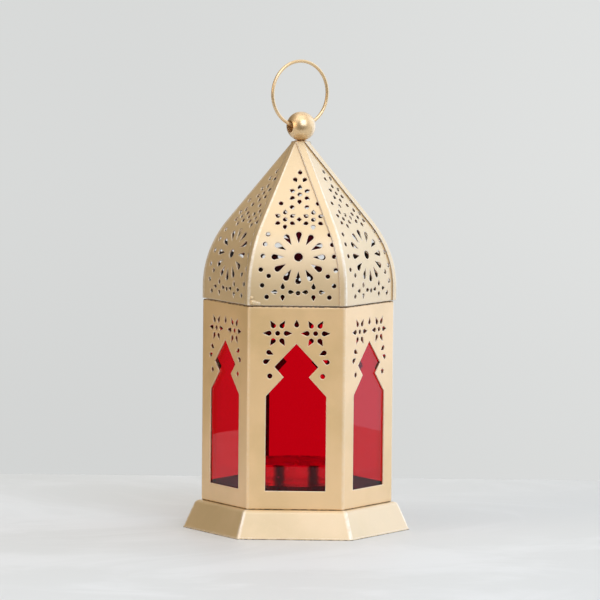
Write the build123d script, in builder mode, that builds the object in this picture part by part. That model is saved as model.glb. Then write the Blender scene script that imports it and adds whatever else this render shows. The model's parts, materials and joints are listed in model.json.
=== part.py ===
"""Hexagonal candle lantern: flared base, pierced body with glass panes, pierced domed roof on a rear
hinge, ball finial with a swinging hanging ring, and a tealight in its cup.

Frame: millimetres, +Z up, origin on the table under the lantern's axis. The six corners stand at
0, 60, 120, ... degrees from +X, and the front face looks along -Y.
"""

import os
from math import atan2, cos, degrees, radians, sin, sqrt, tan

from build123d import *

# ---- driving dimensions -------------------------------------------------------------------------
SIDES = 6
HALF_SIDE = 180 / SIDES  # degrees from a face's middle to its corner
SHEET = 0.5  # sheet metal thickness

BASE_ACROSS_CORNERS = 89.4
BASE_RIM_HEIGHT = 0.6
BASE_TOP = 11.0
BASE_SKIRT_CORNER = 44.8  # skirt's corner radius at the table
BASE_TAPER = 21.8  # skirt's slope from vertical, degrees
BASE_SHOULDER = 2.0

BODY_APOTHEM = 32.65
BODY_BOTTOM = BASE_TOP
BODY_HEIGHT = 79.7
BODY_BEND = 1.2  # outside radius of the bends between faces
BODY_EDGE = 0.7  # outside radius of the bends to the flanges
TOP_FLANGE = 3.6  # sheet turned in at the body's top
BOTTOM_FLANGE = 6.2  # sheet turned in at the body's bottom, riveted to the base

WINDOW_SILL = 7.5
WINDOW_HALF_WIDTH = 11.75
WINDOW_SHOULDER = 44.6
WINDOW_WAIST = (4.9, 52.1)
WINDOW_LOBE = (8.55, 56.1)
WINDOW_APEX = 65.2

GLASS = 2.0
GLASS_GAP = 0.1
GLASS_HALF_WIDTH = 16.7

ROOF_BOTTOM = 91.05
ROOF_APOTHEM = 32.8
ROOF_BEND_START = 96.0
ROOF_BEND_RADIUS = 45.0
ROOF_BEND_ANGLE = 35.25  # also the upper slope from vertical, degrees
ROOF_TOP = 153.25
ROOF_SHIFT = 0.4  # the roof sits a little to the right on the body
LAP_WIDTH = 2.5  # each panel's flange over its left-hand neighbour
HEM_HEIGHT = 1.9

BALL_DIAMETER = 11.5
BALL_CENTRE = 159.2
RING_BORE = 2.4
RING_RADIUS = 12.75
RING_WIRE = 0.65
RING_LIFT = 0.1  # ring's lowest centreline point above the ball's centre
RING_SLIDE = 0.6  # ring's rest off the middle of its bore
RING_TURN = 34.0  # plan angle of the ring's plane
STEM_RADIUS = 1.0
STEM_BOTTOM = 142.5
STEM_TOP = BALL_CENTRE - RING_BORE - 0.3

HINGE_Y = 35.1
HINGE_Z = 90.6
KNUCKLE_RADIUS = 1.4
PIN_RADIUS = 0.8
PIN_CLEARANCE = 0.05
HINGE_HALF_WIDTH = 8.0
ROOF_KNUCKLE_HALF = 2.5
KNUCKLE_GAP = 0.2

CUP_RADIUS = 19.5  # inside
CUP_HEIGHT = 8.0
CUP_LIP = 1.2
TEALIGHT_RADIUS = 19.0
TEALIGHT_HEIGHT = 15.5
FOIL = 0.4
WAX_HEIGHT = 11.0
WICK_RADIUS = 0.8

# ---- derived levels -----------------------------------------------------------------------------
BODY_TOP = BODY_BOTTOM + BODY_HEIGHT
CORNER = 1 / cos(radians(HALF_SIDE))  # corner radius over apothem
BEND_END = radians(ROOF_BEND_ANGLE)
BEND_CENTRE = ROOF_APOTHEM - ROOF_BEND_RADIUS
SLOPE_START = ROOF_BEND_START + ROOF_BEND_RADIUS * sin(BEND_END)
SLOPE_START_APOTHEM = BEND_CENTRE + ROOF_BEND_RADIUS * cos(BEND_END)
CUP_FLOOR = BASE_TOP
TEALIGHT_FLOOR = CUP_FLOOR + SHEET
RING_CENTRE = BALL_CENTRE + RING_LIFT + RING_RADIUS
ROOF_SETTING = Location((ROOF_SHIFT, 0, 0))

os.makedirs("parts", exist_ok=True)


def save(builder, name, setting=Location()):
    """Set a finished sub-part in its place, label it and write its STEP file."""
    part = builder.part.moved(setting)
    part.label = name
    export_step(part, f"parts/{name}.step")


def face_angle(side):
    """Plan direction, in degrees, of a face's outward normal; side 0 is the front."""
    return -90 + side * 2 * HALF_SIDE


def face_plane(side, apothem, height=0.0, tilt=0.0):
    """Plane on a face, its X along the face to the viewer's right, its Z outward.

    A tilt leans the face's top inward by that many degrees.
    """
    turn = radians(face_angle(side))
    lean = radians(tilt)
    outward = (cos(turn) * cos(lean), sin(turn) * cos(lean), sin(lean))
    return Plane(
        origin=(apothem * cos(turn), apothem * sin(turn), height),
        x_dir=(-sin(turn), cos(turn), 0),
        z_dir=outward,
    )


def hexagon(apothem, corner_round=0.0):
    """Add a hexagon with corners on +X and -X, its corners rounded, to the current sketch."""
    outline = RegularPolygon(radius=apothem * CORNER, side_count=SIDES)
    if corner_round > 0:
        fillet(outline.vertices(), corner_round)


def teardrop(x, y, angle, radius, length):
    """Add a drop: a circle at (x, y) with a point at the given length along the angle."""
    half = radius * radius / length
    side = radius * sqrt(1 - (radius / length) ** 2)
    with Locations(Location((x, y, 0), (0, 0, angle))):
        Circle(radius)
        Polygon((length, 0), (half, side), (half, -side), align=None)


def flower(x, y, petal_angles, reach, radius, length):
    """Add drops round a centre, their round ends at the given reach and their points outward."""
    for angle in petal_angles:
        turn = radians(angle)
        teardrop(x + reach * cos(turn), y + reach * sin(turn), angle, radius, length)


# ---- base ---------------------------------------------------------------------------------------
CORNER_ROUND = 1.5
RIM_EDGE = 0.25
SKIRT_APOTHEM = BASE_SKIRT_CORNER / CORNER
RIM_APOTHEM = (BASE_ACROSS_CORNERS / 2 + CORNER_ROUND * (CORNER - 1)) / CORNER
RIVET_INSET = 1.7  # base rivets from the bottom flange's inner edge
RIVET_CIRCLE = BODY_APOTHEM - BOTTOM_FLANGE + RIVET_INSET
BASE_RIVET = 0.9
RIVET_HEAD = 1.8  # head radius over shank radius
HEAD_HEIGHT = 0.6
HEAD_TAPER = 30
SHANK_FIT = 0.02

with BuildPart() as base_pan:
    with BuildSketch():
        hexagon(SKIRT_APOTHEM, CORNER_ROUND)
    extrude(amount=BASE_TOP, taper=BASE_TAPER)
    fillet(base_pan.faces().sort_by(Axis.Z)[-1].edges(), BASE_SHOULDER)
    with BuildSketch():
        hexagon(RIM_APOTHEM, CORNER_ROUND)
    extrude(amount=BASE_RIM_HEIGHT)
    fillet(base_pan.faces().filter_by(Plane.XY).sort_by(Axis.Z)[1].outer_wire().edges(), RIM_EDGE)
    with BuildSketch():
        hexagon(SKIRT_APOTHEM - SHEET, CORNER_ROUND)
    extrude(amount=BASE_TOP - SHEET, taper=BASE_TAPER, mode=Mode.SUBTRACT)
    with BuildSketch(Plane.XY.offset(BASE_TOP)):
        with PolarLocations(RIVET_CIRCLE, SIDES, start_angle=face_angle(0)):
            Circle(BASE_RIVET)
        Circle(BASE_RIVET)
    extrude(amount=-2 * SHEET, mode=Mode.SUBTRACT)
save(base_pan, "base_pan")


def rivet(axis_plane, shank_radius, grip, flush_tail=False):
    """Add a rivet whose grip runs inward from the plane, with a low head at each end."""
    heads = ((0.0, 1),) if flush_tail else ((0.0, 1), (-grip, -1))
    for start, outward in heads:
        with BuildSketch(axis_plane.offset(start)) as head:
            Circle(shank_radius * RIVET_HEAD)
        extrude(head.sketch, amount=HEAD_HEIGHT * outward, taper=HEAD_TAPER)
    with BuildSketch(axis_plane) as shank:
        Circle(shank_radius - SHANK_FIT)
    extrude(shank.sketch, amount=-grip)


with BuildPart() as base_rivets:
    for side in range(SIDES):
        turn = radians(face_angle(side))
        seat = (RIVET_CIRCLE * cos(turn), RIVET_CIRCLE * sin(turn), BODY_BOTTOM + SHEET)
        rivet(Plane(seat), BASE_RIVET, 2 * SHEET)
save(base_rivets, "base_rivets")

# ---- candle cup and tealight --------------------------------------------------------------------
with BuildPart() as candle_cup:
    with BuildSketch(Plane.XZ):
        with BuildLine():
            Polyline(
                (BASE_RIVET, CUP_FLOOR),
                (CUP_RADIUS + SHEET, CUP_FLOOR),
                (CUP_RADIUS + SHEET, CUP_FLOOR + CUP_HEIGHT),
                (CUP_RADIUS, CUP_FLOOR + CUP_HEIGHT),
                (CUP_RADIUS, TEALIGHT_FLOOR),
                (BASE_RIVET, TEALIGHT_FLOOR),
                close=True,
            )
        make_face()
    revolve(axis=Axis.Z)
    with BuildSketch(Plane.XY.offset(CUP_FLOOR + CUP_HEIGHT)):
        Circle(CUP_RADIUS + CUP_LIP)
        Circle(CUP_RADIUS, mode=Mode.SUBTRACT)
    extrude(amount=-SHEET)
save(candle_cup, "candle_cup")

# The cup's rivet is flush inside the cup, so that the tealight stands level.
with BuildPart() as cup_rivet:
    with BuildSketch(Plane.XY.offset(TEALIGHT_FLOOR)):
        Circle(BASE_RIVET - SHANK_FIT)
    extrude(amount=-2 * SHEET)
    with BuildSketch(Plane.XY.offset(BASE_TOP - SHEET)):
        Circle(BASE_RIVET * RIVET_HEAD)
    extrude(amount=-HEAD_HEIGHT, taper=HEAD_TAPER)
save(cup_rivet, "cup_rivet")

TAB_RADIUS = 6.0
TAB_NECK = 1.5
TAB_NECK_HEIGHT = 4.0
FOIL_TOP = TEALIGHT_FLOOR + FOIL
RIM_ROLL = 0.35

with BuildPart() as tealight_shell:
    with BuildSketch(Plane.XY.offset(TEALIGHT_FLOOR)):
        Circle(TEALIGHT_RADIUS)
    extrude(amount=TEALIGHT_HEIGHT)
    with BuildSketch(Plane.XY.offset(FOIL_TOP)):
        Circle(TEALIGHT_RADIUS - FOIL)
    extrude(amount=TEALIGHT_HEIGHT, mode=Mode.SUBTRACT)
    with BuildSketch(Plane.XY.offset(TEALIGHT_FLOOR + TEALIGHT_HEIGHT)):
        Circle(TEALIGHT_RADIUS + RIM_ROLL)
        Circle(TEALIGHT_RADIUS - FOIL, mode=Mode.SUBTRACT)
    extrude(amount=-2 * RIM_ROLL)
save(tealight_shell, "tealight_shell")

with BuildPart() as wick_tab:
    with BuildSketch(Plane.XY.offset(FOIL_TOP)):
        Circle(TAB_RADIUS)
    extrude(amount=FOIL)
    with BuildSketch(Plane.XY.offset(FOIL_TOP)):
        Circle(TAB_NECK)
    extrude(amount=TAB_NECK_HEIGHT)
    with BuildSketch(Plane.XY.offset(FOIL_TOP)):
        Circle(WICK_RADIUS)
    extrude(amount=TAB_NECK_HEIGHT, mode=Mode.SUBTRACT)
save(wick_tab, "wick_tab")

with BuildPart() as tealight_wax:
    with BuildSketch(Plane.XY.offset(FOIL_TOP)):
        Circle(TEALIGHT_RADIUS - FOIL)
    extrude(amount=WAX_HEIGHT)
    for radius, height in ((TAB_RADIUS, FOIL), (TAB_NECK, TAB_NECK_HEIGHT), (WICK_RADIUS, WAX_HEIGHT)):
        with BuildSketch(Plane.XY.offset(FOIL_TOP)):
            Circle(radius)
        extrude(amount=height, mode=Mode.SUBTRACT)
save(tealight_wax, "tealight_wax")

WICK_STAND = 4.0
with BuildPart() as tealight_wick:
    with BuildSketch(Plane.XY.offset(FOIL_TOP)):
        Circle(WICK_RADIUS)
    extrude(amount=WAX_HEIGHT + WICK_STAND)
save(tealight_wick, "tealight_wick")

# ---- body ---------------------------------------------------------------------------------------
FLOWER_CENTRE = (7.4, 69.25)
FLOWER_EYE = 0.95
PETAL_REACH = 3.35
PETAL_RADIUS = 0.98
PETAL_LENGTH = 2.4
SIX_PETALS = [60 * petal for petal in range(6)]
DROP_BODY = 0.95
DROP_BODY_LENGTH = 2.05
TOP_DROP = 72.55
SIDE_DROPS = ((10.8, 61.75, 25), (12.0, 58.1, -26))  # x, height, turn from pointing inward
SIDE_DOT = (10.3, 52.5)
SIDE_DOT_RADIUS = 1.0
SEAM_WIDTH = 4.0
HINGE_RIVET = 0.5
LOWER_RIVET_X = 5.4
LOWER_RIVET_Z = BODY_TOP - 2.5
UPPER_RIVET_X = 1.3  # either side of the roof leaf's middle
UPPER_RIVET_Z = ROOF_BOTTOM + 2.9
REAR = 3  # side number of the rear face


def window_outline():
    """Add the pointed window with its waist to the current sketch."""
    half = [
        (WINDOW_HALF_WIDTH, WINDOW_SILL),
        (WINDOW_HALF_WIDTH, WINDOW_SHOULDER),
        WINDOW_WAIST,
        WINDOW_LOBE,
    ]
    mirrored = [(-x, y) for x, y in reversed(half)]
    Polygon(*half, (0, WINDOW_APEX), *mirrored, align=None)


def body_piercings():
    """Add one face's flowers, drops and dots to the current sketch."""
    teardrop(0, TOP_DROP, 90, DROP_BODY, DROP_BODY_LENGTH)
    for hand in (-1, 1):
        x, y = hand * FLOWER_CENTRE[0], FLOWER_CENTRE[1]
        with Locations((x, y)):
            Circle(FLOWER_EYE)
        flower(x, y, SIX_PETALS, PETAL_REACH, PETAL_RADIUS, PETAL_LENGTH)
        inward = 180 if hand > 0 else 0
        for drop_x, height, turn in SIDE_DROPS:
            teardrop(hand * drop_x, height, inward + hand * turn, DROP_BODY, DROP_BODY_LENGTH)
        with Locations((hand * SIDE_DOT[0], SIDE_DOT[1])):
            Circle(SIDE_DOT_RADIUS)


def cut_hinge_rivet_holes(apothem, middle, x, height):
    """Cut a pair of hinge rivet holes, x either side of a middle, through the rear wall."""
    with BuildSketch(Plane.XZ.offset(-apothem)) as holes:
        with Locations((middle - x, height), (middle + x, height)):
            Circle(HINGE_RIVET)
    extrude(holes.sketch, amount=4 * SHEET, both=True, mode=Mode.SUBTRACT)


with BuildPart() as body_shell:
    with BuildSketch(Plane.XY.offset(BODY_BOTTOM)):
        hexagon(BODY_APOTHEM, BODY_BEND)
    extrude(amount=BODY_HEIGHT)
    fillet(body_shell.faces().filter_by(Plane.XY).edges(), BODY_EDGE)
    with BuildSketch(Plane.XY.offset(BODY_BOTTOM + SHEET)):
        hexagon(BODY_APOTHEM - SHEET, BODY_BEND - SHEET)
    extrude(amount=BODY_HEIGHT - 2 * SHEET, mode=Mode.SUBTRACT)
    for level, flange in ((BODY_BOTTOM, BOTTOM_FLANGE), (BODY_TOP - SHEET, TOP_FLANGE)):
        with BuildSketch(Plane.XY.offset(level)):
            hexagon(BODY_APOTHEM - flange, BODY_BEND)
        extrude(amount=SHEET, mode=Mode.SUBTRACT)
    # The sheet's two ends meet in a lapped seam beside a rear corner.
    seam_middle = BODY_APOTHEM * tan(radians(HALF_SIDE)) - SEAM_WIDTH / 2
    with BuildSketch(face_plane(REAR, BODY_APOTHEM, BODY_BOTTOM + BODY_HEIGHT / 2)):
        with Locations((seam_middle, 0)):
            Rectangle(SEAM_WIDTH, BODY_HEIGHT - SEAM_WIDTH)
    extrude(amount=SHEET)
    for side in range(SIDES):
        with BuildSketch(face_plane(side, BODY_APOTHEM, BODY_BOTTOM)):
            window_outline()
            body_piercings()
        extrude(amount=2 * SHEET, both=True, mode=Mode.SUBTRACT)
    cut_hinge_rivet_holes(BODY_APOTHEM, 0, LOWER_RIVET_X, LOWER_RIVET_Z)
    with BuildSketch(Plane.XY.offset(BODY_BOTTOM + SHEET)):
        with PolarLocations(RIVET_CIRCLE, SIDES, start_angle=face_angle(0)):
            Circle(BASE_RIVET)
    extrude(amount=-SHEET, mode=Mode.SUBTRACT)
save(body_shell, "body_shell")

# ---- glass and its clips ------------------------------------------------------------------------
PANE_OUTER = BODY_APOTHEM - SHEET - GLASS_GAP
PANE_INNER = PANE_OUTER - GLASS
PANE_END_GAP = 0.3
PANE_BOTTOM = BODY_BOTTOM + SHEET + PANE_END_GAP
PANE_TOP = BODY_TOP - SHEET - PANE_END_GAP
PANE_CHAMFER = 0.2
CLIP_X = 13.5
CLIP_WIDTH = 4.0
CLIP_REACH = 5.5
CLIP_HEEL = 0.4
CLIP_APOTHEM = PANE_INNER - SHEET  # inner face of the upright leg
FOOT_INNER = CLIP_APOTHEM - CLIP_HEEL

for side in range(SIDES):
    with BuildPart() as pane:
        with BuildSketch(face_plane(side, PANE_INNER)):
            with Locations((0, (PANE_BOTTOM + PANE_TOP) / 2)):
                Rectangle(2 * GLASS_HALF_WIDTH, PANE_TOP - PANE_BOTTOM)
        extrude(amount=GLASS)
        chamfer(pane.edges().filter_by(Axis.Z), PANE_CHAMFER)
    save(pane, f"glass_pane_{side + 1}")

    with BuildPart() as clips:
        for x in (-CLIP_X, CLIP_X):
            for flange, inward in ((BODY_BOTTOM + SHEET, 1), (BODY_TOP - SHEET, -1)):
                with BuildSketch(face_plane(side, CLIP_APOTHEM)):
                    with Locations((x, flange + inward * CLIP_REACH / 2)):
                        Rectangle(CLIP_WIDTH, CLIP_REACH)
                extrude(amount=SHEET)
                with BuildSketch(face_plane(side, FOOT_INNER)):
                    with Locations((x, flange + inward * SHEET / 2)):
                        Rectangle(CLIP_WIDTH, SHEET)
                extrude(amount=PANE_INNER - FOOT_INNER)
    save(clips, f"glass_clips_{side + 1}")

# ---- roof ---------------------------------------------------------------------------------------
# The roof's parts are made on the lantern's axis, and set in their place when saved.
SIDE_SPAN = 60.0  # half the width of the solids that bound the panels
DROP_RADIUS = 0.85
DROP_LENGTH = 1.35
DOT_RADIUS = 0.88
ROOF_FLOWER_REACH = 3.2
ROOF_FLOWERS = ((0, 133.4), (-5.5, 124.0), (5.5, 124.0))  # x, height
TREFOIL = ((0, 141.6, 90), (-1.9, 139.0, -60), (1.9, 139.0, -120))  # x, height, point's angle
UPPER_DOTS = ((7.2, 130.0), (2.9, 128.7))
DIAMOND_HEIGHT = 124.1
DIAMOND = 1.5
SUN_HEIGHT = 109.9
SUN_EYE = 1.7
SUN_RAYS = 12
SUN_REACH = 9.4
SUN_RAY = (1.12, 3.8)  # a ray's round end and its length
SUN_DOTS = ((12.0, 118.4), (13.1, 114.7), (13.9, 110.2), (14.6, 105.0), (11.5, 102.6))
FOOT_FLOWER = (6.0, 96.4)
FOOT_PETALS = ((2.95, 0, 0), (-2.95, 0, 180), (0, 1.9, 90), (0, -1.9, -90))  # dx, dz, point's angle
FOOT_PETAL = (0.82, 1.6)
FOOT_DOTS = ((14.0, 98.9), (12.2, 94.4))
FOOT_MIDDLE = 96.0
STRAP_X = -ROOF_SHIFT  # the hinge strap keeps to the body's middle


def side_solid(side, offset):
    """Make the solid of everything inside one side's sheet surface, moved out by the offset."""
    bend = ROOF_BEND_RADIUS + offset
    bend_top = (BEND_CENTRE + bend * cos(BEND_END), ROOF_BEND_START + bend * sin(BEND_END))
    tip_z = ROOF_TOP + 5
    tip = (bend_top[0] - (tip_z - bend_top[1]) * tan(BEND_END), tip_z)
    turn = radians(face_angle(side))
    section = Plane(
        origin=(0, 0, 0), x_dir=(cos(turn), sin(turn), 0), z_dir=(sin(turn), -cos(turn), 0)
    )
    with BuildPart() as solid:
        with BuildSketch(section):
            with BuildLine():
                foot = Line((-SIDE_SPAN, ROOF_BOTTOM), (ROOF_APOTHEM + offset, ROOF_BOTTOM))
                Line(foot @ 1, (ROOF_APOTHEM + offset, ROOF_BEND_START))
                CenterArc((BEND_CENTRE, ROOF_BEND_START), bend, 0, ROOF_BEND_ANGLE)
                Polyline(bend_top, tip, (-SIDE_SPAN, tip_z), foot @ 0)
            make_face()
        extrude(amount=SIDE_SPAN, both=True)
    return solid.part


inside = {side: side_solid(side, 0) for side in (0, -1)}
under = {side: side_solid(side, -SHEET) for side in (0, 1)}
over_left = side_solid(-1, SHEET)
within_hem = {side: side_solid(side, -2 * SHEET) for side in (-1, 0, 1)}
lap_limit = side_solid(0, -LAP_WIDTH * sin(radians(2 * HALF_SIDE)))


def apothem_at(height):
    """Distance from the axis to a panel's outer surface at a height below the straight slope."""
    if height <= ROOF_BEND_START:
        return ROOF_APOTHEM
    return BEND_CENTRE + sqrt(ROOF_BEND_RADIUS**2 - (height - ROOF_BEND_START) ** 2)


def cut_through_panel(piercings):
    """Cut a sketch through the panel."""
    extrude(piercings.sketch, amount=6, both=True, mode=Mode.SUBTRACT)


def upper_piercings():
    """Cut the flowers and dots of a panel's straight upper slope."""

    def along(height):
        return (height - SLOPE_START) / cos(BEND_END)

    with BuildSketch(face_plane(0, SLOPE_START_APOTHEM, SLOPE_START, ROOF_BEND_ANGLE)) as piercings:
        for x, height, angle in TREFOIL:
            teardrop(x, along(height), angle, DROP_RADIUS, DROP_LENGTH)
        upright = [90 + angle for angle in SIX_PETALS]
        for x, height in ROOF_FLOWERS:
            with Locations((x, along(height))):
                Circle(DOT_RADIUS)
            flower(x, along(height), upright, ROOF_FLOWER_REACH, DROP_RADIUS, DROP_LENGTH)
        with Locations(*[(hand * x, along(z)) for hand in (-1, 1) for x, z in UPPER_DOTS]):
            Circle(DOT_RADIUS)
        with Locations((0, along(DIAMOND_HEIGHT))):
            Rectangle(DIAMOND, DIAMOND, rotation=45)
    cut_through_panel(piercings)


def sunburst_and_borders():
    """Cut the rayed sunburst and the columns of dots beside it on the bent part."""
    middle = apothem_at(SUN_HEIGHT)
    lean = atan2(SUN_HEIGHT - ROOF_BEND_START, middle - BEND_CENTRE)

    def along(height):
        return (height - SUN_HEIGHT) * cos(lean) + (middle - apothem_at(height)) * sin(lean)

    with BuildSketch(face_plane(0, middle, SUN_HEIGHT, degrees(lean))) as piercings:
        Circle(SUN_EYE)
        for ray in range(SUN_RAYS):
            angle = ray * 360 / SUN_RAYS
            turn = radians(angle)
            teardrop(SUN_REACH * cos(turn), SUN_REACH * sin(turn), angle + 180, *SUN_RAY)
        with Locations(*[(hand * x, along(z)) for hand in (-1, 1) for x, z in SUN_DOTS]):
            Circle(DOT_RADIUS)
    cut_through_panel(piercings)


def bottom_row():
    """Cut the two four-petalled flowers and the dots of the upright band at a panel's foot."""
    with BuildSketch(face_plane(0, ROOF_APOTHEM)) as piercings:
        for hand in (-1, 1):
            for dx, dz, angle in FOOT_PETALS:
                teardrop(hand * FOOT_FLOWER[0] + dx, FOOT_FLOWER[1] + dz, angle, *FOOT_PETAL)
            with Locations(*[(hand * x, height) for x, height in FOOT_DOTS]):
                Circle(DOT_RADIUS)
        with Locations((0, FOOT_MIDDLE)):
            Circle(DOT_RADIUS)
    cut_through_panel(piercings)


with BuildPart() as first_panel:
    # The sheet: under the right-hand panel's flange on the right, past the corner on the left.
    add(inside[0])
    add(under[0], mode=Mode.SUBTRACT)
    add(over_left, mode=Mode.INTERSECT)
    add(under[1], mode=Mode.INTERSECT)
    # The flange that laps over the left-hand panel.
    with BuildPart(mode=Mode.PRIVATE) as lap:
        add(over_left)
        add(inside[-1], mode=Mode.SUBTRACT)
        add(inside[0], mode=Mode.INTERSECT)
        add(lap_limit, mode=Mode.SUBTRACT)
    add(lap.part)
    # The hem, folded up inside the bottom edge.
    with BuildPart(mode=Mode.PRIVATE) as hem:
        add(under[0])
        add(within_hem[0], mode=Mode.SUBTRACT)
        add(within_hem[1], mode=Mode.INTERSECT)
        add(within_hem[-1], mode=Mode.INTERSECT)
        split(bisect_by=Plane.XY.offset(ROOF_BOTTOM + HEM_HEIGHT), keep=Keep.BOTTOM)
    add(hem.part)
    split(bisect_by=Plane.XY.offset(ROOF_TOP), keep=Keep.BOTTOM)
    upper_piercings()
    sunburst_and_borders()
    bottom_row()

roof_panels = []
for side in range(SIDES):
    with BuildPart() as panel:
        add(first_panel.part.rotate(Axis.Z, side * 2 * HALF_SIDE))
        if side == REAR:
            cut_hinge_rivet_holes(ROOF_APOTHEM, STRAP_X, UPPER_RIVET_X, UPPER_RIVET_Z)
    save(panel, f"roof_panel_{side + 1}", ROOF_SETTING)
    roof_panels.append(panel.part)

# A solder tack inside each lapped corner, above the hem, and solder run out beside the front left one.
TACK_RADIUS = 1.1
TACK_INSET = 1.2
TACK_LENGTH = 2.2
SMEAR_DROPS = (  # x, height, spread, rise over the panel
    (-17.8, 92.3, 1.00, 0.95),
    (-16.9, 92.1, 0.95, 0.75),
    (-15.9, 91.9, 0.80, 0.50),
    (-15.1, 91.8, 0.60, 0.35),
    (-18.0, 94.0, 0.75, 0.70),
)
corner_radius = ROOF_APOTHEM * CORNER
with BuildPart() as solder_tacks:
    with BuildSketch(Plane.XY.offset(ROOF_BOTTOM + HEM_HEIGHT + SHEET)):
        with PolarLocations(corner_radius - TACK_INSET, SIDES):
            Circle(TACK_RADIUS)
        RegularPolygon((ROOF_APOTHEM - SHEET) * CORNER, SIDES, mode=Mode.INTERSECT)
    extrude(amount=TACK_LENGTH)
    with BuildPart(mode=Mode.PRIVATE) as smear:
        for x, height, spread, rise in SMEAR_DROPS:
            drop_radius = (spread**2 + rise**2) / (2 * rise)
            with Locations((x, drop_radius - rise - ROOF_APOTHEM, height)):
                Sphere(drop_radius)
        add(inside[0], mode=Mode.SUBTRACT)
        add(roof_panels[0], mode=Mode.SUBTRACT)
        split(bisect_by=Plane.XY.offset(ROOF_BOTTOM), keep=Keep.TOP)
    add(smear.part)
save(solder_tacks, "solder_tacks", ROOF_SETTING)

# ---- apex, ball and ring ------------------------------------------------------------------------
COLLAR_RADIUS = 2.7
COLLAR_TOP_RADIUS = 2.3
COLLAR_EDGE = 0.2
STEM_FIT = 0.02
BALL_SEAT = 0.15  # the collar's top over the ball's lowest point
WASHER_TOP = 147.0
WASHER_RADIUS = 5.0
WASHER_THICK = 0.8
WASHER_FIT = 0.1
NUT_ACROSS_FLATS = 4.0
NUT_HEIGHT = 1.6

ball_bottom = BALL_CENTRE - BALL_DIAMETER / 2
with BuildPart() as apex_collar:
    with BuildSketch(Plane.XZ):
        with BuildLine():
            Polyline(
                (STEM_RADIUS + STEM_FIT, ROOF_TOP),
                (COLLAR_RADIUS, ROOF_TOP),
                (COLLAR_RADIUS, ROOF_TOP + COLLAR_EDGE),
                (COLLAR_TOP_RADIUS, ball_bottom + BALL_SEAT),
                (STEM_RADIUS + STEM_FIT, ball_bottom + BALL_SEAT),
                close=True,
            )
        make_face()
    revolve(axis=Axis.Z)
    with Locations((0, 0, BALL_CENTRE)):
        Sphere(BALL_DIAMETER / 2, mode=Mode.SUBTRACT)
save(apex_collar, "apex_collar", ROOF_SETTING)

ring_turn = radians(RING_TURN)
ring_plane = Plane(
    origin=(-RING_SLIDE * cos(ring_turn), -RING_SLIDE * sin(ring_turn), RING_CENTRE),
    x_dir=(cos(ring_turn), sin(ring_turn), 0),
    z_dir=(sin(ring_turn), -cos(ring_turn), 0),
)
bore_plane = Plane(
    origin=(0, 0, BALL_CENTRE),
    x_dir=(sin(ring_turn), -cos(ring_turn), 0),
    z_dir=(cos(ring_turn), sin(ring_turn), 0),
)

with BuildPart() as finial_ball:
    with Locations((0, 0, BALL_CENTRE)):
        Sphere(BALL_DIAMETER / 2)
    with BuildSketch(bore_plane):
        Circle(RING_BORE)
    extrude(amount=BALL_DIAMETER, both=True, mode=Mode.SUBTRACT)
    with BuildSketch(Plane.XY.offset(ball_bottom - 1)):
        Circle(STEM_RADIUS)
    extrude(amount=STEM_TOP - ball_bottom + 1, mode=Mode.SUBTRACT)
save(finial_ball, "finial_ball", ROOF_SETTING)

with BuildPart() as finial_stem:
    with BuildSketch(Plane.XY.offset(STEM_BOTTOM)):
        Circle(STEM_RADIUS - STEM_FIT)
    extrude(amount=STEM_TOP - STEM_BOTTOM)
save(finial_stem, "finial_stem", ROOF_SETTING)

with BuildPart() as apex_washer:
    with BuildSketch(Plane.XY.offset(WASHER_TOP)):
        Circle(WASHER_RADIUS)
        Circle(STEM_RADIUS + WASHER_FIT, mode=Mode.SUBTRACT)
    extrude(amount=-WASHER_THICK)
save(apex_washer, "apex_washer", ROOF_SETTING)

with BuildPart() as apex_nut:
    with BuildSketch(Plane.XY.offset(WASHER_TOP - WASHER_THICK)):
        RegularPolygon(radius=NUT_ACROSS_FLATS / 2, side_count=6, major_radius=False)
        Circle(STEM_RADIUS, mode=Mode.SUBTRACT)
    extrude(amount=-NUT_HEIGHT)
save(apex_nut, "apex_nut", ROOF_SETTING)

with BuildPart() as hanging_ring:
    with Locations(ring_plane):
        Torus(RING_RADIUS, RING_WIRE)
save(hanging_ring, "hanging_ring", ROOF_SETTING)

# ---- rear hinge ---------------------------------------------------------------------------------
LEAF_DROP = 3.7
LEAF_RISE = 4.4
BARREL_GAP = PIN_RADIUS + PIN_CLEARANCE
HINGE_SECTION = Plane(origin=(0, 0, 0), x_dir=(0, 1, 0), z_dir=(1, 0, 0))


def knuckle(start, end):
    """Add one hinge barrel between two X positions."""
    with BuildSketch(HINGE_SECTION.offset(start)) as barrel:
        with Locations((HINGE_Y, HINGE_Z)):
            Circle(KNUCKLE_RADIUS)
    extrude(barrel.sketch, amount=end - start)


def leaf_block(start, end, low, high):
    """Add a block of leaf between two X positions; low and high are its (y, z) corners."""
    with BuildSketch(HINGE_SECTION.offset(start)) as block:
        with Locations(((low[0] + high[0]) / 2, (low[1] + high[1]) / 2)):
            Rectangle(high[0] - low[0], high[1] - low[1])
    extrude(block.sketch, amount=end - start)


def clear_pin_bore():
    """Bore the barrels for the pin."""
    with BuildSketch(HINGE_SECTION) as bore:
        with Locations((HINGE_Y, HINGE_Z)):
            Circle(BARREL_GAP)
    extrude(bore.sketch, amount=2 * HINGE_HALF_WIDTH, both=True, mode=Mode.SUBTRACT)


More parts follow.
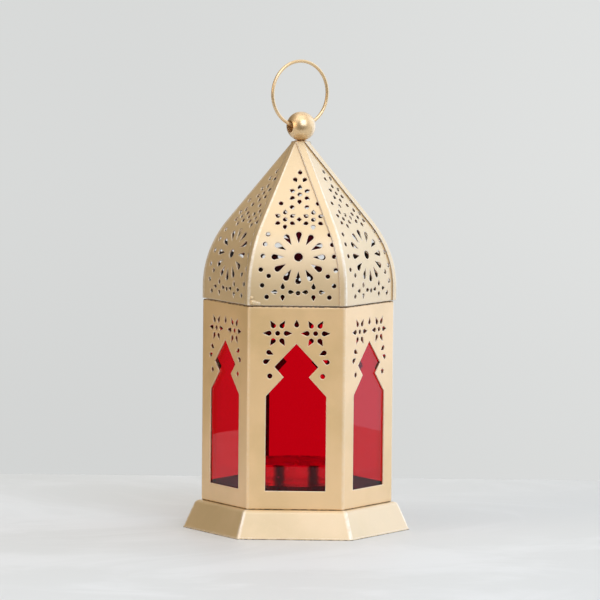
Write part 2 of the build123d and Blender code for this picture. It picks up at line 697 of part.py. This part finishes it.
knuckle_bottom = HINGE_Z - KNUCKLE_RADIUS
body_knuckles = (
    (-HINGE_HALF_WIDTH, -ROOF_KNUCKLE_HALF - KNUCKLE_GAP),
    (ROOF_KNUCKLE_HALF + KNUCKLE_GAP, HINGE_HALF_WIDTH),
)
with BuildPart() as hinge_leaf_body:
    leaf_low = (BODY_APOTHEM, knuckle_bottom + SHEET - LEAF_DROP)
    leaf_high = (BODY_APOTHEM + SHEET, knuckle_bottom + SHEET)
    leaf_block(-HINGE_HALF_WIDTH, HINGE_HALF_WIDTH, leaf_low, leaf_high)
    for start, end in body_knuckles:
        leaf_block(start, end, (BODY_APOTHEM, knuckle_bottom), (HINGE_Y, knuckle_bottom + SHEET))
        knuckle(start, end)
    cut_hinge_rivet_holes(BODY_APOTHEM, 0, LOWER_RIVET_X, LOWER_RIVET_Z)
    clear_pin_bore()
save(hinge_leaf_body, "hinge_leaf_body")

web_bottom = HINGE_Z + KNUCKLE_RADIUS - SHEET
web_low = (ROOF_APOTHEM, web_bottom)
with BuildPart() as hinge_leaf_roof:
    leaf_block(-ROOF_KNUCKLE_HALF, ROOF_KNUCKLE_HALF, web_low, (HINGE_Y, web_bottom + SHEET))
    strap_high = (ROOF_APOTHEM + SHEET, ROOF_BOTTOM + LEAF_RISE)
    leaf_block(-ROOF_KNUCKLE_HALF, ROOF_KNUCKLE_HALF, web_low, strap_high)
    knuckle(-ROOF_KNUCKLE_HALF, ROOF_KNUCKLE_HALF)
    cut_hinge_rivet_holes(ROOF_APOTHEM, 0, UPPER_RIVET_X, UPPER_RIVET_Z)
    clear_pin_bore()
save(hinge_leaf_roof, "hinge_leaf_roof")

PIN_HEAD = 0.6
PIN_END_GAP = 0.05
with BuildPart() as hinge_pin:
    with BuildSketch(HINGE_SECTION):
        with Locations((HINGE_Y, HINGE_Z)):
            Circle(PIN_RADIUS)
    extrude(amount=HINGE_HALF_WIDTH + PIN_HEAD, both=True)
    for end in (-1, 1):
        with BuildSketch(HINGE_SECTION.offset(end * (HINGE_HALF_WIDTH + PIN_END_GAP))):
            with Locations((HINGE_Y, HINGE_Z)):
                Circle((PIN_RADIUS + KNUCKLE_RADIUS) / 2)
        extrude(amount=end * PIN_HEAD)
save(hinge_pin, "hinge_pin")

# The body's rivets are flush inside, because behind them stands the rear pane.
with BuildPart() as hinge_rivets_body:
    for x in (-LOWER_RIVET_X, LOWER_RIVET_X):
        seat = (x, BODY_APOTHEM + SHEET, LOWER_RIVET_Z)
        rivet(Plane(seat, x_dir=(-1, 0, 0), z_dir=(0, 1, 0)), HINGE_RIVET, 2 * SHEET, flush_tail=True)
save(hinge_rivets_body, "hinge_rivets_body")

# The roof's rivets pass the strap and the panel above the hem.
with BuildPart() as hinge_rivets_roof:
    for x in (-UPPER_RIVET_X, UPPER_RIVET_X):
        seat = (x, ROOF_APOTHEM + SHEET, UPPER_RIVET_Z)
        rivet(Plane(seat, x_dir=(-1, 0, 0), z_dir=(0, 1, 0)), HINGE_RIVET, 2 * SHEET)
save(hinge_rivets_roof, "hinge_rivets_roof")
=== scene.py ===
"""Looks for the candle lantern: satin gold paint on sheet metal, clear red glass, a tealight, and a
pale studio with soft light. Every CAD node keeps its mesh and its place. Lengths are in metres."""

import json
from math import cos, radians, sin

import bpy
import bmesh
from mathutils import Matrix, Vector


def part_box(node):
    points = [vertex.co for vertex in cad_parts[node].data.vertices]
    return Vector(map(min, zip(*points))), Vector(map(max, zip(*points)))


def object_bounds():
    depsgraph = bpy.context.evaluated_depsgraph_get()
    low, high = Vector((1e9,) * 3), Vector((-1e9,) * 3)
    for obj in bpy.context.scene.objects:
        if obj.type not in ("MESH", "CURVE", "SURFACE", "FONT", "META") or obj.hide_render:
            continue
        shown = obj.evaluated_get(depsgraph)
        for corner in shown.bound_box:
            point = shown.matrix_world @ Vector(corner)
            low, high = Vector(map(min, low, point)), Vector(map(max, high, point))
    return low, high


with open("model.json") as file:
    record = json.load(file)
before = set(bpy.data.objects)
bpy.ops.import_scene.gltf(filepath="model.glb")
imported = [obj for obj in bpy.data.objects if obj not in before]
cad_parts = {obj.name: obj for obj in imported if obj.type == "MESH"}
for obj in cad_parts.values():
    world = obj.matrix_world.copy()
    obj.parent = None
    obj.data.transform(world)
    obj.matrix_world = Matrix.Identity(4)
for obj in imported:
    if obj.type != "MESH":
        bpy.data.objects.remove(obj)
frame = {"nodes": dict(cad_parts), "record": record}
cad_low, cad_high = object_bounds()

MM = 0.001
NODES = frame["nodes"]
HEIGHT = cad_high.z - cad_low.z

# ---- camera: a long lens from a little above, nearly square to the front face -------------------
CAMERA_AZIMUTH = radians(0.95)
CAMERA_ELEVATION = radians(4.87)
CAMERA_ROLL = radians(-0.545)
CAMERA_DISTANCE = 2.5
CAMERA_LENS = 380.5
SENSOR_WIDTH = 36
CLIP_NEAR = 0.1
CLIP_FAR = 50
AIM_RIGHT = 0.64 * MM
AIM_UP = 0.4884 * HEIGHT


def make_camera():
    """A camera in front of the lantern, looking slightly down."""
    data = bpy.data.cameras.new("camera")
    data.lens = CAMERA_LENS
    data.sensor_width = SENSOR_WIDTH
    data.clip_start = CLIP_NEAR
    data.clip_end = CLIP_FAR
    camera = bpy.data.objects.new("camera", data)
    bpy.context.scene.collection.objects.link(camera)
    back = Vector(
        (
            sin(CAMERA_AZIMUTH) * cos(CAMERA_ELEVATION),
            -cos(CAMERA_AZIMUTH) * cos(CAMERA_ELEVATION),
            sin(CAMERA_ELEVATION),
        )
    )
    camera.location = Vector((AIM_RIGHT, 0.0, AIM_UP)) + back * CAMERA_DISTANCE
    turn = (-back).to_track_quat("-Z", "Y").to_matrix()
    camera.rotation_euler = (turn @ Matrix.Rotation(-CAMERA_ROLL, 3, "Z")).to_euler()
    bpy.context.scene.camera = camera


# ---- node helpers -------------------------------------------------------------------------------
class Tree:
    """A material's or world's node tree, with short ways to add and join nodes."""

    def __init__(self, node_tree):
        self.tree = node_tree
        self.tree.nodes.clear()

    def add(self, kind, inputs=None, **settings):
        """Add a node; inputs are plain values or (node, output name) pairs."""
        node = self.tree.nodes.new("ShaderNode" + kind)
        for key, value in settings.items():
            setattr(node, key, value)
        for key, value in (inputs or {}).items():
            self.feed(node, key, value)
        return node

    def feed(self, node, key, value):
        """Give one input a value or another node's output."""
        socket = node.inputs[key]
        if isinstance(value, tuple) and hasattr(value[0], "outputs"):
            self.tree.links.new(value[0].outputs[value[1]], socket)
        elif hasattr(value, "outputs"):
            self.tree.links.new(value.outputs[0], socket)
        else:
            socket.default_value = value

    def math(self, operation, a, b=0.0, c=0.0):
        """Add a Math node."""
        return self.add("Math", {0: a, 1: b, 2: c}, operation=operation)

    def noise(self, at, size, detail=2.0, roughness=0.5, distortion=0.0):
        """Add object-space noise whose features are about the given size."""
        settings = {
            "Vector": at,
            "Scale": 1 / size,
            "Detail": detail,
            "Roughness": roughness,
            "Distortion": distortion,
        }
        return self.add("TexNoise", settings)

    def ramp(self, value, low, high, to_low=0.0, to_high=1.0):
        """Map a range of one value onto another range, held at its ends."""
        settings = {
            "Value": value,
            "From Min": low,
            "From Max": high,
            "To Min": to_low,
            "To Max": to_high,
        }
        return self.add("MapRange", settings, interpolation_type="SMOOTHSTEP")

    def mix(self, share, a, b):
        """Mix two colours; a share of 1 gives the second."""
        node = self.add("Mix", data_type="RGBA")
        for key, value in ((0, share), (6, a), (7, b)):
            self.feed(node, key, value)
        return (node, 2)


def material(name):
    """Make an empty node material; returns it and its tree."""
    made = bpy.data.materials.new(name)
    made.use_nodes = True
    return made, Tree(made.node_tree)


def rgba(red, green, blue):
    """A linear colour with full alpha."""
    return (red, green, blue, 1.0)


def scaled(colour, factor):
    """A colour with each channel multiplied, none over 1."""
    return rgba(*(min(1.0, factor * channel) for channel in colour))


# ---- the gold finish ----------------------------------------------------------------------------
SIXTH_TURN = radians(60)
# width of the painted highlight along the six corners
CORNER_HIGHLIGHT_WIDTH = radians(1.7)

LIGHT_GOLD = rgba(1.0, 0.86, 0.62)
# pale gold for edges: partly wear, partly painted highlight
WORN_AND_HIGHLIGHT_GOLD = rgba(1.0, 0.90, 0.74)
# painted shade for the joint gaps and the contact line at the foot of the rim
JOINT_SHADE = rgba(0.045, 0.022, 0.010)
# dark browns painted on the inward faces as shade inside the lantern
INSIDE_SHADE_DARK = rgba(0.020, 0.014, 0.010)
INSIDE_SHADE_LIGHT = rgba(0.050, 0.034, 0.022)

CLOUD_SIZE = 28 * MM
WAVE_SIZE = 16 * MM
STREAK_SIZE = 6 * MM
DIMPLE_SIZE = 5 * MM
CHIP_SIZE = 1.6 * MM
PEEL_SIZE = 0.5 * MM
SPECK_SIZE = 0.35 * MM

WAVE_DEPTH = 0.35 * MM
DIMPLE_DEPTH = 0.045 * MM
PEEL_DEPTH = 0.010 * MM


def shell_masks(t, own, split):
    """Masks of the six-sided sheets: the faces that look in at the axis, and the six corners."""
    around = t.math("ARCTAN2", (split, "Y"), (split, "X"))
    sixth = t.math("ROUND", t.math("MULTIPLY_ADD", around, 1 / SIXTH_TURN, -0.5))
    middle = t.math("MULTIPLY_ADD", sixth, SIXTH_TURN, SIXTH_TURN / 2)
    outward = t.add("CombineXYZ", {"X": t.math("COSINE", middle), "Y": t.math("SINE", middle)})
    looking = t.add("VectorMath", {0: (own, "Normal"), 1: outward}, operation="DOT_PRODUCT")
    inside = t.ramp((looking, "Value"), -0.62, -0.72)
    aside = t.math("ABSOLUTE", t.math("SUBTRACT", around, middle))
    corner = t.ramp(aside, SIXTH_TURN / 2 - CORNER_HIGHLIGHT_WIDTH, SIXTH_TURN / 2 - 0.25 * CORNER_HIGHLIGHT_WIDTH)
    return inside, corner


def shade_line(t, height, bend, way, full, gone):
    """Mask of a line of painted shade beside a bend, above it for way 1 and below it for way -1."""
    near = t.ramp(height, bend + way * 0.02 * MM, bend + way * 0.06 * MM)
    far = t.ramp(height, bend + way * gone, bend + way * full)
    return t.math("MULTIPLY", near, far)


def joint_shade_lines(t, height):
    """Mask of the lines of painted shade: the gaps at the body's two outer bends and the contact
    shadow at the foot of the rim.
    """
    lower = shade_line(t, height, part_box("base_pan")[1].z, 1, 0.3 * MM, 0.55 * MM)
    upper = shade_line(t, height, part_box("body_shell")[1].z, -1, 0.25 * MM, 0.5 * MM)
    foot = t.ramp(height, 0.4 * MM, 0.1 * MM)
    return t.math("MAXIMUM", foot, t.math("MAXIMUM", lower, upper))


def gold_paint(name, colour, roughness, dents=1.0, wear_and_highlight=1.0, bevel=0.8 * MM, corner_highlight=0.7, smooth=False):
    """Satin metallic gold on metal: fine texture, slow unevenness, and edges brightened partly by
    wear and partly as painted highlight.

    On the six-sided sheets the corners carry a painted highlight, lines of painted shade lie in the
    joint gaps and along the foot of the rim, and the faces that look in at the lantern's axis are
    painted dark as shade. Smooth parts have none of this.
    """
    grain = 0.0 if smooth else 1.0
    made, t = material(name)
    own = t.add("TexCoord")
    at = (own, "Object")
    split = t.add("SeparateXYZ", {0: at})

    cloud = t.noise(at, CLOUD_SIZE, 3)
    streak = t.noise(at, STREAK_SIZE, 4, 0.6)
    speck = t.noise(at, SPECK_SIZE, 2, 0.7)
    deep = rgba(*(0.90 * channel for channel in colour[:2]), 0.84 * colour[2])
    tone = t.mix(t.ramp((cloud, 0), 0.35, 0.65), deep, rgba(*colour))
    tone = t.mix(t.ramp((streak, 0), 0.45, 0.75, 0.0, 0.25), tone, scaled(colour, 1.08))
    tone = t.mix(t.ramp((speck, 0), 0.62, 0.80, 0.0, 0.35 * grain), tone, LIGHT_GOLD)

    rounded = t.add("Bevel", {"Radius": bevel}, samples=6)
    plain = t.add("NewGeometry")
    facing = t.add("VectorMath", {0: (rounded, 0), 1: (plain, "Normal")}, operation="DOT_PRODUCT")
    edge = t.ramp((facing, "Value"), 0.97, 0.80)
    chip = t.noise(at, CHIP_SIZE, 3, 0.7)
    rough = t.math("MULTIPLY_ADD", (streak, 0), 0.12, roughness - 0.06)
    rough = t.math("MULTIPLY_ADD", (speck, 0), 0.06 * grain, rough)
    if not smooth:
        inside, corner = shell_masks(t, own, split)
        # the six corners get a painted highlight
        edge = t.math("MAXIMUM", edge, t.math("MULTIPLY", corner, corner_highlight))
    # edge brightening: wear on bevelled edges plus the painted highlight on the corners
    worn_and_highlit = t.math("MULTIPLY", edge, t.ramp((chip, 0), 0.35, 0.60, 0.45 * wear_and_highlight, 0.95 * wear_and_highlight))
    tone = t.mix(worn_and_highlit, tone, WORN_AND_HIGHLIGHT_GOLD)
    if not smooth:
        # patchy lines of painted shade in the joint gaps and along the foot of the rim
        patchy = t.ramp((chip, 0), 0.42, 0.58, 0.95, 0.35)
        tone = t.mix(t.math("MULTIPLY", joint_shade_lines(t, (split, "Z")), patchy), tone, JOINT_SHADE)
        # the faces that look in at the axis are painted dark as shade
        tone = t.mix(inside, tone, t.mix(t.ramp((streak, 0), 0.3, 0.7), INSIDE_SHADE_DARK, INSIDE_SHADE_LIGHT))
        rough = t.math("MULTIPLY_ADD", inside, 0.25, rough)

    peel = t.noise(at, PEEL_SIZE, 2)
    wave = t.noise(at, WAVE_SIZE, 2, 0.45)
    dimple = t.noise(at, DIMPLE_SIZE, 1)
    relief = t.math("MULTIPLY", (wave, 0), WAVE_DEPTH * dents)
    relief = t.math("MULTIPLY_ADD", (dimple, 0), DIMPLE_DEPTH * dents, relief)
    relief = t.math("MULTIPLY_ADD", (peel, 0), PEEL_DEPTH * grain, relief)
    bump = t.add("Bump", {"Height": relief, "Distance": 1.0, "Normal": (rounded, 0)})

    shader = t.add(
        "BsdfPrincipled",
        {
            "Base Color": tone,
            "Metallic": 0.65 if smooth else 0.42,
            "Roughness": rough,
            "IOR": 1.5,
            "Coat Weight": 1.0,
            "Coat Roughness": 0.15 if smooth else 0.24,
            "Coat IOR": 1.65,
            "Normal": bump,
        },
    )
    t.add("OutputMaterial", {"Surface": shader})
    return made


# ---- the other materials ------------------------------------------------------------------------
GLASS_RED = rgba(0.865, 0.001, 0.08)
SHADOW_RED = rgba(0.80, 0.01, 0.04)
GLASS_WAVE_SIZE = 22 * MM
DUST_SIZE = 2.2 * MM
SCRATCH_SIZE = 1.2 * MM
MOTTLE_SIZE = 4 * MM
RIDGE_SCALE = 90.0
PLAIT_SCALE = 320.0


def red_glass():
    """Clear red glass, faintly wavy and dusty, whose shadow is red light."""
    made, t = material("red_glass")
    at = (t.add("TexCoord"), "Object")
    wave = t.noise(at, GLASS_WAVE_SIZE, 1)
    dust = t.noise(at, DUST_SIZE, 4, 0.7)
    bump = t.add("Bump", {"Height": t.math("MULTIPLY", (wave, 0), 0.02 * MM), "Distance": 1.0})
    shader = t.add(
        "BsdfPrincipled",
        {
            "Base Color": GLASS_RED,
            "Roughness": t.ramp((dust, 0), 0.45, 0.8, 0.012, 0.05),
            "IOR": 1.3,
            "Transmission Weight": 1.0,
            "Normal": bump,
        },
    )
    through = t.add("BsdfTransparent", {"Color": SHADOW_RED})
    ray = t.add("LightPath")
    both = t.add("MixShader", {0: (ray, "Is Shadow Ray"), 1: shader, 2: through})
    t.add("OutputMaterial", {"Surface": both})
    return made


def bright_metal(name, colour, roughness, ridge=0.0):
    """Bare drawn metal with fine circular marks round the lantern's axis."""
    made, t = material(name)
    at = (t.add("TexCoord"), "Object")
    scratch = t.noise(at, SCRATCH_SIZE, 4, 0.7)
    tone = t.mix(t.ramp((scratch, 0), 0.3, 0.7), scaled(colour, 0.85), rgba(*colour))
    relief = t.math("MULTIPLY", (scratch, 0), 0.01 * MM)
    if ridge > 0:
        waves = {"Vector": at, "Scale": RIDGE_SCALE, "Distortion": 1.5}
        wave = t.add("TexWave", waves, bands_direction="Z")
        relief = t.math("MULTIPLY_ADD", (wave, 1), ridge, relief)
    bump = t.add("Bump", {"Height": relief, "Distance": 1.0})
    shader = t.add(
        "BsdfPrincipled",
        {
            "Base Color": tone,
            "Metallic": 1.0,
            "Roughness": t.ramp((scratch, 0), 0.3, 0.8, roughness, roughness + 0.12),
            "Normal": bump,
        },
    )
    t.add("OutputMaterial", {"Surface": shader})
    return made


def candle_wax():
    """Off-white wax, a little translucent, with a slow mottle."""
    made, t = material("candle_wax")
    at = (t.add("TexCoord"), "Object")
    mottle = t.noise(at, MOTTLE_SIZE, 3)
    tone = t.mix(t.ramp((mottle, 0), 0.3, 0.7), rgba(0.80, 0.77, 0.70), rgba(0.88, 0.86, 0.80))
    bump = t.add("Bump", {"Height": t.math("MULTIPLY", (mottle, 0), 0.08 * MM), "Distance": 1.0})
    shader = t.add(
        "BsdfPrincipled",
        {
            "Base Color": tone,
            "Roughness": 0.45,
            "Subsurface Weight": 0.3,
            "Subsurface Scale": 2 * MM,
            "Normal": bump,
        },
    )
    t.add("OutputMaterial", {"Surface": shader})
    return made


def cotton_wick():
    """Plaited cotton: diagonal bands."""
    made, t = material("cotton_wick")
    at = (t.add("TexCoord"), "Object")
    waves = {"Vector": at, "Scale": PLAIT_SCALE, "Distortion": 2.0}
    band = t.add("TexWave", waves, bands_direction="DIAGONAL")
    bump = t.add("Bump", {"Height": t.math("MULTIPLY", (band, 1), 0.1 * MM), "Distance": 1.0})
    shader = t.add(
        "BsdfPrincipled",
        {
            "Base Color": t.mix((band, 1), rgba(0.55, 0.52, 0.45), rgba(0.85, 0.83, 0.77)),
            "Roughness": 0.85,
            "Normal": bump,
        },
    )
    t.add("OutputMaterial", {"Surface": shader})
    return made


def assign(node_name, made):
    """Give a CAD node one material."""
    data = NODES[node_name].data
    data.materials.clear()
    data.materials.append(made)


SHEET_GOLD = (0.765, 0.565, 0.315)
# a brighter copy of the sheet gold: painted light on the body
LIT_BODY_GOLD = (0.885, 0.60, 0.295)
SMOOTH_GOLD = (0.84, 0.58, 0.30)
STEEL = (0.80, 0.79, 0.77)
FOIL = (0.86, 0.86, 0.87)
SMOOTH_NODES = ("finial_ball", "hanging_ring", "apex_collar", "finial_stem", "hinge_pin")


def dress_nodes():
    """Give every CAD node its slot's material; the body has a brighter copy of the sheet gold,
    painted light, and the smooth parts have their own gold.
    """
    sheet = gold_paint("gold_sheet", SHEET_GOLD, 0.48)
    body = gold_paint("gold_body_lit", LIT_BODY_GOLD, 0.48, corner_highlight=0.25)
    smooth = gold_paint(
        "gold_turned", SMOOTH_GOLD, 0.32, dents=0.1, wear_and_highlight=0.0, bevel=0.05 * MM, smooth=True
    )
    by_slot = {
        "gold_sheet": sheet,
        "red_glass": red_glass(),
        "cup_metal": bright_metal("cup_steel", STEEL, 0.16),
        "foil": bright_metal("tealight_foil", FOIL, 0.18, ridge=0.05 * MM),
        "wax": candle_wax(),
        "wick": cotton_wick(),
    }
    for part in frame["record"]["subparts"]:
        name = part["node"]
        made = by_slot[part["material_slot"]]
        if name in SMOOTH_NODES:
            made = smooth
        elif name == "body_shell":
            made = body
        assign(name, made)


# ---- studio -------------------------------------------------------------------------------------
FLOOR_BACK = 0.18
FLOOR_FRONT = -0.28
FLOOR_HALF = 3.0
VEIN_SIZE = 0.12
FLOOR_GRAIN_SIZE = 4 * MM

FRONT = (0, -1, 0)
BACK_LEFT = (-0.87, 0.45, 0.2)
BACK_RIGHT = (0.87, 0.49, 0.1)
NEUTRAL = rgba(1.0, 0.99, 0.965)
WARM = rgba(1.0, 0.80, 0.54)
COOL = rgba(0.86, 0.98, 1.16)
WALL = rgba(0.985, 1.0, 0.99)

LIGHT_TARGET = (0, 0, 0.09)
LIGHTS = (
    # name, place, size, watts, colour
    ("key", (0.55, -1.3, 1.0), 1.2, 12.6, (0.86, 0.98, 1.22)),
    ("top", (-0.1, -0.25, 1.2), 1.0, 2.2, (1.0, 1.0, 1.0)),
    ("fill", (-1.2, -0.9, 0.5), 0.8, 3.9, (1.0, 0.68, 0.38)),
)


def make_floor():
    """A pale table whose far edge lies a little behind the lantern, its near edge well in front."""
    made, t = material("table")
    at = (t.add("TexCoord"), "Object")
    vein = t.noise(at, VEIN_SIZE, 5, 0.6, 1.2)
    grain = t.noise(at, FLOOR_GRAIN_SIZE, 3, 0.6)
    tone = t.mix(t.ramp((vein, 0), 0.42, 0.62), rgba(0.65, 0.66, 0.645), rgba(0.71, 0.72, 0.71))
    tone = t.mix(t.ramp((grain, 0), 0.3, 0.8, 0.0, 0.2), tone, rgba(0.675, 0.685, 0.675))
    shader = t.add("BsdfPrincipled", {"Base Color": tone, "Roughness": 0.55})
    t.add("OutputMaterial", {"Surface": shader})
    data = bpy.data.meshes.new("floor")
    build = bmesh.new()
    corners = [
        (-FLOOR_HALF, FLOOR_FRONT),
        (FLOOR_HALF, FLOOR_FRONT),
        (FLOOR_HALF, FLOOR_BACK),
        (-FLOOR_HALF, FLOOR_BACK),
    ]
    build.faces.new([build.verts.new((x, y, 0.0)) for x, y in corners])
    build.to_mesh(data)
    build.free()
    data.materials.append(made)
    floor = bpy.data.objects.new("floor", data)
    bpy.context.scene.collection.objects.link(floor)


def make_light(name, place, size, power, colour):
    """A square soft light aimed at the lantern's middle."""
    data = bpy.data.lights.new(name, "AREA")
    data.shape = "SQUARE"
    data.size = size
    data.energy = power
    data.color = colour
    light = bpy.data.objects.new(name, data)
    light.location = place
    aim = Vector(LIGHT_TARGET) - Vector(place)
    light.rotation_euler = aim.to_track_quat("-Z", "Y").to_euler()
    bpy.context.scene.collection.objects.link(light)


def make_room():
    """A pale room, dark in front and at the back left, with a cool bright back right.

    The camera sees a plain pale wall instead, both directly and through the glass.
    """
    world = bpy.data.worlds.new("studio")
    bpy.context.scene.world = world
    world.use_nodes = True
    t = Tree(world.node_tree)
    at = (t.add("TexCoord"), "Generated")
    split = t.add("SeparateXYZ", {0: at})

    def toward(direction, start, end):
        near = t.add(
            "VectorMath", {0: at, 1: Vector(direction).normalized()}, operation="DOT_PRODUCT"
        )
        return t.ramp((near, "Value"), start, end)

    front = toward(FRONT, 0.55, 0.97)
    left = toward(BACK_LEFT, 0.45, 0.95)
    right = toward(BACK_RIGHT, 0.6, 0.95)
    level = t.ramp((split, "Z"), 0.05, 0.9, 0.62, 1.0)
    level = t.math("MULTIPLY", level, t.math("MULTIPLY_ADD", front, -0.96, 1.0))
    level = t.math("MULTIPLY", level, t.math("MULTIPLY_ADD", left, -0.85, 1.0))
    level = t.math("ADD", level, t.math("MULTIPLY", right, 0.82))
    tint = t.mix(right, t.mix(left, NEUTRAL, WARM), COOL)
    studio = t.add("Background", {"Color": tint, "Strength": level})

    rise = t.ramp((split, "Z"), -0.115, -0.06, 0.672, 0.71)
    across = t.ramp((split, "X"), -0.05, 0.05, 0.985, 1.075)
    wall_level = t.math("MULTIPLY", rise, across)
    wall = t.add("Background", {"Color": WALL, "Strength": wall_level})
    ray = t.add("LightPath")
    seen = t.math("MAXIMUM", (ray, "Is Camera Ray"), (ray, "Is Transmission Ray"))
    both = t.add("MixShader", {0: seen, 1: studio, 2: wall})
    t.add("OutputWorld", {"Surface": both})


make_camera()
dress_nodes()
make_floor()
make_room()
for settings in LIGHTS:
    make_light(*settings)
bpy.context.scene.view_settings.view_transform = "Standard"
